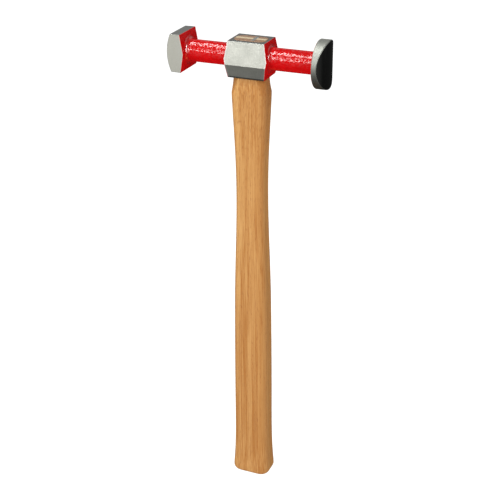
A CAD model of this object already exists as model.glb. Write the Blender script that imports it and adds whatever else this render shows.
import math

import bmesh
import bpy
from mathutils import Matrix, Vector
from mathutils.bvhtree import BVHTree


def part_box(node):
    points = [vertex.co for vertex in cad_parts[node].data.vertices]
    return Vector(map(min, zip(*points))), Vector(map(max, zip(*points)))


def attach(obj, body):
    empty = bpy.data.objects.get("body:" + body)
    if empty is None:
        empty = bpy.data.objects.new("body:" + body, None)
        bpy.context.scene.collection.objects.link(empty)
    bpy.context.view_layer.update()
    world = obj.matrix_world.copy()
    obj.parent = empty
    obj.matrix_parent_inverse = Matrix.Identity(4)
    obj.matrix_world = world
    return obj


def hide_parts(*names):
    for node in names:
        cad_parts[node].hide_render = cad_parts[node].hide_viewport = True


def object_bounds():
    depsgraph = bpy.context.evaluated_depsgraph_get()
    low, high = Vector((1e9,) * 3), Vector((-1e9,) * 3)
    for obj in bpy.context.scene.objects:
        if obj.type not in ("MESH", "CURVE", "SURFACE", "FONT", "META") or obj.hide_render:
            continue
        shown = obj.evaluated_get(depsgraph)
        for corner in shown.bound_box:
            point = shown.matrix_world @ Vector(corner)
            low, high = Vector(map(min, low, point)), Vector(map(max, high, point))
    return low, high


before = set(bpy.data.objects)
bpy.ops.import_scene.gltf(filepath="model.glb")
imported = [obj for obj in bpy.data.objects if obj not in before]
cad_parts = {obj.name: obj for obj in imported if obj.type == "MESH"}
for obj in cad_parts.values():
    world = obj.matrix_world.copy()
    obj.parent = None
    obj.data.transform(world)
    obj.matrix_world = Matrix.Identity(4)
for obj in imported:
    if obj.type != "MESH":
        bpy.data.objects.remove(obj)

# Cross peen hammer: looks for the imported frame. The head keeps its CAD shape and gets ground
# steel and red lacquer; the handle is wrapped again as an even grid of quads over its CAD
# solid and gets hickory grain. Metres, +Z up, the handle's butt at the origin.

MM = 0.001
cad_low, cad_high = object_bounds()
scene = bpy.context.scene

# The head's axis runs along X at the height of the disc's centre.
head_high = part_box("hammer_head")[1]
handle_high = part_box("handle")[1]
HEAD_AXIS = head_high.z - head_high.y

# Places on the head in mm: along X from its middle, and up, down or out from its axis. A draft
# is the length lost for each mm up or down.
BLOCK_END, BLOCK_DRAFT = 14.4, 0.172
BLOCK_TOP, BLOCK_BOTTOM = 11.25, 12.0
PLATE_BACK, PLATE_DRAFT, PLATE_TOP = 41.6, 0.18, 12.2
DISC_BACK, DISC_RADIUS = 44.4, 15.3
NECK_RADIUS = 7.1


# ---- camera, floor and light ---------------------------------------------------------------

def look_from(azimuth, elevation):
    """The direction from the object to a viewer; azimuth 0 is in front, at -Y."""
    a, e = math.radians(azimuth), math.radians(elevation)
    return Vector((math.sin(a) * math.cos(e), -math.cos(a) * math.cos(e), math.sin(e)))


def make_camera():
    """Above the front right, close enough for strong perspective."""
    azimuth, elevation, roll = 22.8, 25.91, -0.43
    distance = 746.4 * MM
    aim = (cad_low + cad_high) / 2 + Vector((-1.2, 0, 14.5)) * MM
    data = bpy.data.cameras.new("camera")
    data.sensor_width = 36.0
    data.lens = 79.2
    data.clip_start = 0.01
    camera = bpy.data.objects.new("camera", data)
    scene.collection.objects.link(camera)
    back = look_from(azimuth, elevation)
    turn = (-back).to_track_quat("-Z", "Y").to_matrix().to_4x4()
    spin = Matrix.Rotation(math.radians(roll), 4, "Z")
    camera.matrix_world = Matrix.Translation(aim + back * distance) @ turn @ spin
    scene.camera = camera


def make_stage():
    """A white floor that ends in a white surround, which only the camera sees."""
    floor_radius = 9.0
    bpy.ops.mesh.primitive_circle_add(vertices=96, radius=floor_radius, fill_type="NGON")
    floor = bpy.context.object
    floor.name = "floor"
    floor.location.z = -0.05 * MM
    floor.data.materials.append(floor_material())
    floor.visible_glossy = False
    bpy.ops.mesh.primitive_uv_sphere_add(segments=48, ring_count=24, radius=floor_radius)
    surround = bpy.context.object
    surround.name = "surround"
    surround.data.materials.append(glow_material("surround", 1.0))
    for ray in ("diffuse", "glossy", "transmission", "shadow", "volume_scatter"):
        setattr(surround, f"visible_{ray}", False)


def make_world():
    """Soft studio surroundings: dim all round, with broad glows where the steel looks."""
    #        azimuth, elevation, core, edge (degrees), glow
    lobes = ((-28, -21, 6, 27, 0.295),
             (-40, 35, 20, 70, 0.45),
             (10, 30, 25, 70, 0.35),
             (-160, 28, 12, 42, 0.36),
             (134, 9, 8, 25, 0.36),
             (226, 9, 8, 25, 0.36),
             (95, -15, 3, 30, 0.10))
    world = bpy.data.worlds.new("studio")
    scene.world = world
    world.use_nodes = True
    world.node_tree.nodes.clear()
    web = Web(world.node_tree)
    direction = web.node("ShaderNodeTexCoord").outputs["Generated"]
    height = web.split(direction)[2]
    glow = web.spread(height, -0.35, 0.5, 0.022, 0.09)
    for azimuth, elevation, core, edge, strength in lobes:
        dot = web.node("ShaderNodeVectorMath")
        dot.operation = "DOT_PRODUCT"
        web.link(direction, dot.inputs[0])
        dot.inputs[1].default_value = look_from(azimuth, elevation)
        near = web.spread(dot.outputs["Value"], math.cos(math.radians(edge)),
                          math.cos(math.radians(core)), 0.0, strength)
        glow = web.math("ADD", glow, near)
    background = web.node("ShaderNodeBackground")
    web.link(glow, background.inputs["Color"])
    output = web.node("ShaderNodeOutputWorld")
    web.link(background.outputs[0], output.inputs["Surface"])


def add_softbox(name, azimuth, elevation, distance, width, height, power):
    """A rectangular light that faces a point below the head, and that the camera can't see."""
    data = bpy.data.lights.new(name, "AREA")
    data.shape = "RECTANGLE"
    data.size = width
    data.size_y = height
    data.energy = power
    light = bpy.data.objects.new(name, data)
    scene.collection.objects.link(light)
    back = look_from(azimuth, elevation)
    aim = Vector((0, 0, HEAD_AXIS * 0.7))
    light.location = aim + back * distance
    light.rotation_euler = (-back).to_track_quat("-Z", "Y").to_euler()
    light.visible_camera = False


def make_lights():
    """A key from the right, and strips and panels for the highlights on the necks."""
    add_softbox("key", azimuth=20, elevation=30, distance=1.5, width=0.45, height=0.45, power=5.5)
    add_softbox("top", azimuth=-70, elevation=68, distance=0.9, width=0.6, height=0.18, power=4.8)
    add_softbox("front", azimuth=-19, elevation=18, distance=1.5, width=0.08, height=0.4, power=1.5)
    add_softbox("panel", azimuth=-24, elevation=30, distance=1.5, width=0.25, height=0.80, power=4.0)
    add_softbox("spot", azimuth=-25, elevation=18, distance=1.5, width=0.05, height=0.15, power=0.6)
    add_softbox("side", azimuth=82, elevation=26, distance=1.5, width=0.10, height=1.10, power=6.2)
    add_softbox("fill", azimuth=58, elevation=8, distance=1.5, width=0.6, height=0.8, power=0.9)


# ---- shader nodes --------------------------------------------------------------------------

class Web:
    """Short ways to place and join shader nodes in one tree."""

    def __init__(self, tree):
        self.tree = tree

    def node(self, kind):
        return self.tree.nodes.new(kind)

    def link(self, source, target):
        """Joins a socket to the target socket, or gives the target a plain value."""
        if hasattr(source, "links"):
            self.tree.links.new(source, target)
        else:
            target.default_value = source

    def math(self, operation, *values):
        node = self.node("ShaderNodeMath")
        node.operation = operation
        for value, socket in zip(values, node.inputs):
            self.link(value, socket)
        return node.outputs[0]

    def split(self, vector):
        node = self.node("ShaderNodeSeparateXYZ")
        self.link(vector, node.inputs[0])
        return node.outputs[0], node.outputs[1], node.outputs[2]

    def scaled(self, vector, scale):
        node = self.node("ShaderNodeMapping")
        self.link(vector, node.inputs["Vector"])
        node.inputs["Scale"].default_value = scale
        return node.outputs[0]

    def noise(self, vector, scale=1.0, detail=3.0, roughness=0.5, distortion=0.0):
        node = self.node("ShaderNodeTexNoise")
        self.link(vector, node.inputs["Vector"])
        node.inputs["Scale"].default_value = scale
        node.inputs["Detail"].default_value = detail
        node.inputs["Roughness"].default_value = roughness
        node.inputs["Distortion"].default_value = distortion
        return node.outputs[0]

    def spread(self, value, low, high, to_low=0.0, to_high=1.0):
        """value carried from low..high to to_low..to_high, and held there outside."""
        node = self.node("ShaderNodeMapRange")
        for entry, socket in zip((value, low, high, to_low, to_high), node.inputs):
            self.link(entry, socket)
        return node.outputs[0]

    def mix(self, share, first, second):
        """A colour between first and second."""
        node = self.node("ShaderNodeMix")
        node.data_type = "RGBA"
        self.link(share, node.inputs["Factor"])
        self.link(first + (1,) if isinstance(first, tuple) else first, node.inputs[6])
        self.link(second + (1,) if isinstance(second, tuple) else second, node.inputs[7])
        return node.outputs[2]

    def bump(self, height, distance, strength=1.0, normal=None):
        node = self.node("ShaderNodeBump")
        self.link(height, node.inputs["Height"])
        node.inputs["Distance"].default_value = distance
        self.link(strength, node.inputs["Strength"])
        if normal is not None:
            self.link(normal, node.inputs["Normal"])
        return node.outputs[0]


def new_material(name):
    """A material with one Principled shader, its web of nodes, and its coordinates in mm."""
    material = bpy.data.materials.new(name)
    material.use_nodes = True
    web = Web(material.node_tree)
    shader = material.node_tree.nodes["Principled BSDF"]
    place = web.scaled(web.node("ShaderNodeTexCoord").outputs["Object"], (1000, 1000, 1000))
    return material, web, shader, place


def glow_material(name, strength):
    """A material that only gives off white light."""
    material = bpy.data.materials.new(name)
    material.use_nodes = True
    web = Web(material.node_tree)
    material.node_tree.nodes.clear()
    glow = web.node("ShaderNodeEmission")
    glow.inputs["Strength"].default_value = strength
    web.link(glow.outputs[0], web.node("ShaderNodeOutputMaterial").inputs["Surface"])
    return material


def floor_material():
    """A matt floor, lit from within so that it stays white under soft light."""
    material, _, shader, _ = new_material("floor")
    shader.inputs["Base Color"].default_value = (0.30, 0.30, 0.30, 1)
    shader.inputs["Roughness"].default_value = 0.9
    shader.inputs["Specular IOR Level"].default_value = 0.0
    shader.inputs["Emission Color"].default_value = (1, 1, 1, 1)
    shader.inputs["Emission Strength"].default_value = 0.98
    return material


# ---- materials of the hammer ---------------------------------------------------------------

def lacquer_depth(web, x, height, place):
    """How far a point lies inside the red lacquer, in mm; below 0 it is bare steel."""
    lap = 0.28
    past_block = web.math("MULTIPLY_ADD", height, BLOCK_DRAFT, lap - BLOCK_END)
    past_block = web.math("ADD", web.math("ABSOLUTE", x), past_block)
    before_plate = web.math("MULTIPLY_ADD", height, PLATE_DRAFT, PLATE_BACK + lap)
    before_plate = web.math("ADD", x, before_plate)
    before_disc = web.math("SUBTRACT", DISC_BACK + lap, x)
    depth = web.math("MINIMUM", past_block, web.math("MINIMUM", before_plate, before_disc))
    wander = web.math("MULTIPLY_ADD", web.noise(place, 0.9, 2.0), 0.3, -0.15)
    return web.math("ADD", depth, wander)


def top_and_bottom_rim(web, x, height, on_plate):
    """1 on the last sliver of the block's and the plate's height, 0 elsewhere."""
    block_sliver = 0.34
    right_neck = 20.0
    start = web.math("MULTIPLY_ADD", on_plate, PLATE_TOP - BLOCK_TOP, BLOCK_TOP - block_sliver)
    rim = web.spread(web.math("SUBTRACT", height, start), 0.0, 0.08)
    return web.math("MULTIPLY", rim, web.math("LESS_THAN", x, right_neck))


def ground_steel(web, x, height, from_axis, depth, grind, place):
    """Colour and roughness of the bare steel: ground all over, polished on the round face."""
    dark, pale = (0.54, 0.55, 0.49), (0.74, 0.745, 0.67)
    face, edge, plate = (0.17, 0.175, 0.168), (0.95, 0.95, 0.91), (0.88, 0.87, 0.76)
    rim, side = (0.12, 0.125, 0.12), (0.32, 0.33, 0.297)
    edge_share, plate_share, rim_share = 0.8, 0.65, 0.85
    side_roughness, polish = 0.22, -0.45

    on_face = web.math("MULTIPLY", web.spread(from_axis, DISC_RADIUS - 0.2, DISC_RADIUS - 0.5),
                       web.math("GREATER_THAN", x, DISC_BACK + 1.0))
    on_disc = web.spread(x, DISC_BACK, DISC_BACK + 0.3)
    on_side = web.math("MULTIPLY", on_disc, web.math("SUBTRACT", 1.0, on_face))
    on_plate = web.math("LESS_THAN", x, -PLATE_BACK)
    on_edge = web.spread(depth, -0.75, -0.15)
    on_rim = top_and_bottom_rim(web, x, height, on_plate)

    cloud = web.noise(place, 0.16, 2.0)
    tone = web.math("ADD", web.math("MULTIPLY", grind, 0.6), web.math("MULTIPLY", cloud, 0.4))
    colour = web.mix(web.spread(tone, 0.3, 0.7), dark, pale)
    colour = web.mix(on_face, colour, face)
    colour = web.mix(web.math("MULTIPLY", on_edge, edge_share), colour, edge)
    colour = web.mix(web.math("MULTIPLY", on_plate, plate_share), colour, plate)
    colour = web.mix(web.math("MULTIPLY", on_rim, rim_share), colour, rim)
    colour = web.mix(on_side, colour, side)

    roughness = web.spread(grind, 0.3, 0.7, 0.27, 0.40)
    roughness = web.math("MULTIPLY_ADD", on_disc, side_roughness, roughness)
    roughness = web.math("MULTIPLY_ADD", on_face, polish, roughness)
    return colour, roughness


def neck_roots(web, from_axis):
    """1 in the fillets at the ends of the necks, 0 elsewhere."""
    root_radius, fade = 2.2, 0.4
    end = NECK_RADIUS + root_radius
    inner = web.spread(from_axis, NECK_RADIUS + 0.1, NECK_RADIUS + fade)
    return web.math("MULTIPLY", inner, web.spread(from_axis, end, end - fade))


def head_material():
    """Ground steel, with red lacquer over the rough forging between the faces and the eye."""
    deep_red, bright_red = (0.40, 0.0025, 0.003), (0.49, 0.004, 0.005)
    lacquer_roughness = 0.3
    coat_ior, root_ior = 1.5, 2.4
    material, web, shader, place = new_material("forged_steel_and_red_lacquer")
    x, y, z = web.split(place)
    height = web.math("ABSOLUTE", web.math("SUBTRACT", z, HEAD_AXIS / MM))
    from_axis = web.math("ADD", web.math("POWER", y, 2.0), web.math("POWER", height, 2.0))
    from_axis = web.math("SQRT", from_axis)
    depth = lacquer_depth(web, x, height, place)
    lacquer = web.spread(depth, -0.06, 0.06)
    bare = web.math("SUBTRACT", 1.0, lacquer)
    grind = web.noise(web.scaled(place, (9.0, 0.35, 0.35)), 1.0, 3.0, 0.6)

    steel, steel_roughness = ground_steel(web, x, height, from_axis, depth, grind, place)
    red = web.mix(web.spread(web.noise(place, 0.35, 3.0), 0.3, 0.7), deep_red, bright_red)
    web.link(web.mix(lacquer, steel, red), shader.inputs["Base Color"])
    web.link(bare, shader.inputs["Metallic"])
    roughness = web.math("ADD", web.math("MULTIPLY", bare, steel_roughness),
                         web.math("MULTIPLY", lacquer, lacquer_roughness))
    web.link(roughness, shader.inputs["Roughness"])
    shader.inputs["Specular IOR Level"].default_value = 0.0

    # The lacquer's coat is patchy, so its highlights break up; in the neck roots it is whole.
    root = neck_roots(web, from_axis)
    patches = web.spread(web.noise(place, 0.9, 1.0, 0.5), 0.44, 0.56, 0.1, 1.0)
    coat = web.math("MULTIPLY", lacquer, web.math("MAXIMUM", patches, root))
    web.link(coat, shader.inputs["Coat Weight"])
    web.link(web.spread(root, 0.0, 1.0, coat_ior, root_ior), shader.inputs["Coat IOR"])
    shader.inputs["Coat Roughness"].default_value = 0.03

    lumps = web.noise(place, 0.30, 1.0, 0.6)
    peel = web.noise(place, 0.80, 1.0, 0.5)
    skin = web.math("ADD", web.math("MULTIPLY", lumps, 0.68), web.math("MULTIPLY", peel, 0.32))
    normal = web.bump(skin, 0.3 * MM, lacquer)
    normal = web.bump(grind, 0.02 * MM, web.math("MULTIPLY", bare, 0.6), normal)
    web.link(normal, shader.inputs["Normal"])
    web.link(normal, shader.inputs["Coat Normal"])
    return material


def shoulder_facets(web, place):
    """1 on the flats that cut the handle's four corners under the eye, 0 elsewhere."""
    facet_height = 10.75
    collar = HEAD_AXIS / MM - BLOCK_BOTTOM
    shoulder = collar - facet_height
    collar_reach, shoulder_reach = 14.0, 17.6
    x, y, z = web.split(place)
    across = web.math("ADD", web.math("ABSOLUTE", x), web.math("ABSOLUTE", y))
    edge = web.spread(z, shoulder, collar, shoulder_reach, collar_reach)
    inside = web.spread(web.math("SUBTRACT", across, edge), -0.45, -0.1)
    return web.math("MULTIPLY", inside, web.spread(z, shoulder - 0.5, shoulder + 1.5))


def wood_material(name, light, dark, pore, light_end, dark_end):
    """Long straight grain along Z: broad streaks, fine lines and short dark pores.

    The grain is darker toward +X, and the pores crowd together near the top.
    """
    top = handle_high.z / MM
    crowd_low, crowd_high = top - 110, top - 50
    side_shade, pore_shade, facet_shade = 0.35, 0.42, 0.6
    material, web, shader, place = new_material(name)
    x, _, z = web.split(place)
    broad = web.noise(web.scaled(place, (0.20, 0.20, 0.004)), 1.0, 2.0, 0.5, 0.3)
    lines = web.noise(web.scaled(place, (1.05, 1.05, 0.007)), 1.0, 3.0, 0.65, 0.15)
    fine = web.noise(web.scaled(place, (2.1, 2.1, 0.028)), 1.0, 2.0, 0.6)
    streak = web.math("ADD", web.math("MULTIPLY", broad, 0.30), web.math("MULTIPLY", lines, 0.35))
    streak = web.math("ADD", streak, web.math("MULTIPLY", fine, 0.35))
    colour = web.mix(web.spread(streak, 0.39, 0.59), dark, light)
    colour = web.mix(web.spread(x, -2.0, 9.0, 0.0, side_shade), colour, dark)
    dashes = web.noise(web.scaled(place, (1.7, 1.7, 0.28)), 1.0, 1.0, 0.4)
    pores = web.spread(dashes, 0.56, 0.68)
    near_top = web.spread(z, crowd_low, crowd_high)
    pores = web.math("MULTIPLY", pores, web.math("MAXIMUM", web.spread(lines, 0.60, 0.42), near_top))
    colour = web.mix(web.math("MULTIPLY", pores, pore_shade), colour, pore)
    facets = shoulder_facets(web, place)
    colour = web.mix(web.math("MULTIPLY", facets, facet_shade), colour, dark)
    end_grain = web.math("MAXIMUM", web.spread(z, top - 0.7, top - 0.3), web.spread(z, 1.2, 0.3))
    speck = web.noise(place, 2.2, 3.0, 0.7)
    cut = web.mix(web.spread(speck, 0.35, 0.65), dark_end, light_end)
    colour = web.mix(end_grain, colour, cut)
    web.link(colour, shader.inputs["Base Color"])
    shader.inputs["Specular IOR Level"].default_value = 0.25
    web.link(web.spread(streak, 0.3, 0.7, 0.50, 0.38), shader.inputs["Roughness"])
    relief = web.math("SUBTRACT", web.math("MULTIPLY", fine, 0.3), pores)
    web.link(web.bump(relief, 0.06 * MM, 0.7), shader.inputs["Normal"])
    return material


def wedge_steel_material():
    """Mill scale: blotchy grey steel."""
    dark, pale = (0.30, 0.31, 0.29), (0.52, 0.52, 0.49)
    material, web, shader, place = new_material("wedge_steel")
    scale = web.noise(place, 1.4, 3.0)
    web.link(web.mix(web.spread(scale, 0.3, 0.7), dark, pale), shader.inputs["Base Color"])
    shader.inputs["Metallic"].default_value = 1.0
    web.link(web.spread(scale, 0.3, 0.7, 0.38, 0.55), shader.inputs["Roughness"])
    web.link(web.bump(scale, 0.05 * MM, 0.6), shader.inputs["Normal"])
    return material


# ---- the handle ----------------------------------------------------------------------------

def surface_tree(node_name):
    """A search tree over a CAD node's own surface."""
    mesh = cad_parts[node_name].data
    points = [vertex.co for vertex in mesh.vertices]
    return BVHTree.FromPolygons(points, [list(polygon.vertices) for polygon in mesh.polygons])


def directions(columns):
    """Level directions around Z, evenly spaced."""
    turns = [2 * math.pi * column / columns for column in range(columns)]
    return [Vector((math.cos(turn), math.sin(turn), 0)) for turn in turns]


def ring_outside(tree, height, columns):
    """Points of a surface around Z at one height, as seen from outside."""
    reach = 0.1
    axis = Vector((0, 0, height))
    return [tree.ray_cast(axis + way * reach, -way)[0] for way in directions(columns)]


def ring_inside(tree, height, columns):
    """Points of a surface around Z at one height, as seen from the axis."""
    axis = Vector((0, 0, height))
    return [tree.ray_cast(axis, way)[0] for way in directions(columns)]


def shrunk(ring, share, height):
    """A ring's share of its own size, laid level at a height."""
    return [Vector((point.x * share, point.y * share, height)) for point in ring]


def quads_between(mesh, rings):
    """Four-sided faces that join each ring to the next."""
    for lower, upper in zip(rings, rings[1:]):
        for index in range(len(lower)):
            following = (index + 1) % len(lower)
            mesh.faces.new((lower[index], lower[following], upper[following], upper[index]))


def make_handle():
    """The handle wrapped as even quads over its CAD solid, and its tenon through the eye."""
    columns = 128
    step = 1.5 * MM
    skin = 0.02 * MM
    rim = 2.8 * MM
    rim_shares = (0.12, 0.28, 0.5, 0.75)
    eye_low = HEAD_AXIS - BLOCK_BOTTOM * MM
    eye_high = HEAD_AXIS + BLOCK_TOP * MM
    eye_shares = (0.02, 0.35, 0.7, 0.98)
    tenon_top = handle_high.z - 0.12 * MM
    butt_height, smooth_passes = 12 * MM, 6
    foot_shares = (0.1, 0.4, 0.7, 0.96)
    cap_shares = (0.8, 0.55, 0.3, 0.1)
    # The tenon's rounded end: a share of the eye's mouth, and mm below the tenon's top.
    tenon_end = ((1.0, 0.45), (0.995, 0.2), (0.98, 0.06), (0.955, 0.0))
    outside = surface_tree("handle")
    eye = surface_tree("hammer_head")

    heights = [skin] + [rim * share for share in rim_shares]
    count = round((eye_low - rim) / step)
    heights += [rim + (eye_low - skin - rim) * index / count for index in range(count + 1)]
    rings = [ring_outside(outside, height, columns) for height in heights]
    heights = [eye_low + (eye_high - eye_low) * share for share in eye_shares]
    rings += [ring_inside(eye, height, columns) for height in heights]
    mouth = rings[-1]
    rings += [shrunk(mouth, share, tenon_top - drop * MM) for share, drop in tenon_end]
    rings += [shrunk(mouth, share, tenon_top) for share in cap_shares]
    rings = [shrunk(rings[0], share, 0.0) for share in foot_shares] + rings

    mesh = bmesh.new()
    corners = [[mesh.verts.new(point) for point in ring] for ring in rings]
    quads_between(mesh, corners)
    mesh.faces.new(list(reversed(corners[0])))
    mesh.faces.new(corners[-1])
    butt = [vertex for vertex in mesh.verts if skin < vertex.co.z < butt_height]
    for smooth_pass in range(smooth_passes):
        bmesh.ops.smooth_vert(mesh, verts=butt, factor=0.5, use_axis_x=True, use_axis_y=True)
    handle = finish_mesh("wooden_handle", mesh)
    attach(handle, "root")
    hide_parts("handle")
    return handle


def finish_mesh(name, mesh):
    """A smooth-shaded object made from a bmesh, which is used up."""
    data = bpy.data.meshes.new(name)
    mesh.to_mesh(data)
    mesh.free()
    data.polygons.foreach_set("use_smooth", [True] * len(data.polygons))
    piece = bpy.data.objects.new(name, data)
    scene.collection.objects.link(piece)
    return piece


def paint(piece, material):
    piece.data.materials.clear()
    piece.data.materials.append(material)


# ---- the scene -----------------------------------------------------------------------------

scene.view_settings.view_transform = "Standard"
make_camera()
make_stage()
make_world()
make_lights()

hickory = wood_material("hickory", light=(0.53, 0.282, 0.092), dark=(0.35, 0.13, 0.022),
                        pore=(0.25, 0.08, 0.02), light_end=(0.33, 0.20, 0.12),
                        dark_end=(0.17, 0.095, 0.055))
wedge_wood = wood_material("wedge_wood", light=(0.72, 0.56, 0.34), dark=(0.60, 0.43, 0.24),
                           pore=(0.3, 0.2, 0.1), light_end=(0.60, 0.50, 0.34),
                           dark_end=(0.42, 0.33, 0.20))
paint(make_handle(), hickory)
paint(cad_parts["hammer_head"], head_material())
paint(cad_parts["wooden_wedge"], wedge_wood)
paint(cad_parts["steel_wedge"], wedge_steel_material())
